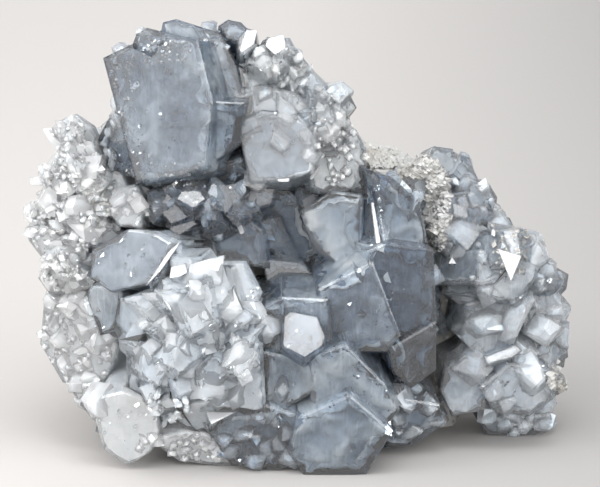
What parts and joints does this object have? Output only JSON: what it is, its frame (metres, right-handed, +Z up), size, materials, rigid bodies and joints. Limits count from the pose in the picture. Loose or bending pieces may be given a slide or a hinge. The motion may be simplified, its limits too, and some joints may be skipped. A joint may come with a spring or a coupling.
{
  "type": "celestite crystal cluster",
  "caption": "Hand-sized cluster of pale blue celestite crystals grown together on a piece of host rock, standing on a flat break to show its crystals to the front.",
  "frame": {"origin": "middle of the specimen's footprint, on the surface it stands on", "axes": "+X to the right, -Y to the front, where the crystals show, +Z up"},
  "size_m": [0.121, 0.0726, 0.0967],
  "materials": {
    "matrix": "rough broken rock, pale grey to tan",
    "summit_crystals": "glassy crystal faces, grey-blue, milky inside",
    "shoulder_crystals": "glassy crystal faces, near white",
    "deep_crystals": "glassy crystal faces, clear dark blue",
    "centre_crystals": "glassy crystal faces, blue, milky inside",
    "rosette_crystals": "glassy crystal faces, pale blue",
    "left_crystals": "glassy crystal faces, sugary white",
    "right_crystals": "glassy crystal faces, pale grey-blue"
  },
  "bodies": {
    "root": {"matrix": "matrix", "summit_crystals": "summit_crystals", "shoulder_crystals": "shoulder_crystals", "deep_crystals": "deep_crystals", "centre_crystals": "centre_crystals", "rosette_crystals": "rosette_crystals", "left_crystals": "left_crystals", "right_crystals": "right_crystals"}
  },
  "joints": []
}
